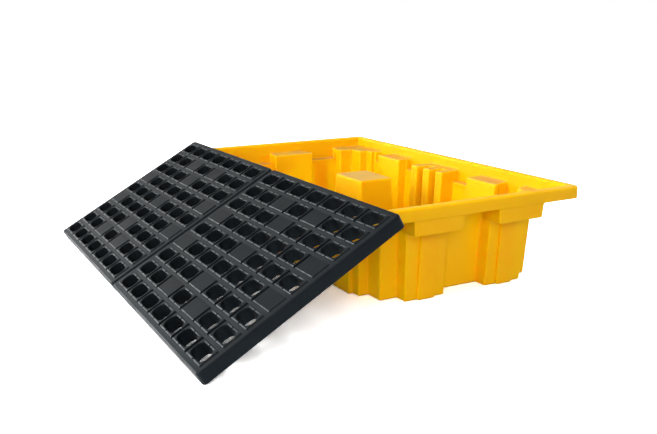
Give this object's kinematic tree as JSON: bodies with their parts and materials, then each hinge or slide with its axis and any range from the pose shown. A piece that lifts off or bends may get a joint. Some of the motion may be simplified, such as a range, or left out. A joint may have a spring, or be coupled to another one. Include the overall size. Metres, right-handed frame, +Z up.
{
  "type": "spill containment pallet",
  "caption": "Low rectangular sump with an overhanging rim and central pillar, with lift-out grate panels leaning against its long side, for catching leaks under drums.",
  "frame": {"origin": "middle of the sump's base, on the floor", "axes": "+Z up, +Y along the sump's long side, +X across it, away from the side where the panels lean"},
  "size_m": [1.3277, 1.46, 0.3323],
  "materials": {
    "sump_plastic": "satin moulded polyethylene, warm yellow",
    "grate_plastic": "fine-textured moulded polyethylene, black"
  },
  "bodies": {
    "sump": {"sump": "sump_plastic"},
    "far_panel": {"grate_far": "grate_plastic"},
    "near_panel": {"grate_near": "grate_plastic"}
  },
  "joints": [
    {"name": "far_panel_lift", "type": "slide", "parent": "sump", "child": "far_panel", "axis": [0, 0, 1], "range_m": [0, 0.32]},
    {"name": "near_panel_lift", "type": "slide", "parent": "sump", "child": "near_panel", "axis": [0, 0, 1], "range_m": [0, 0.32]}
  ]
}
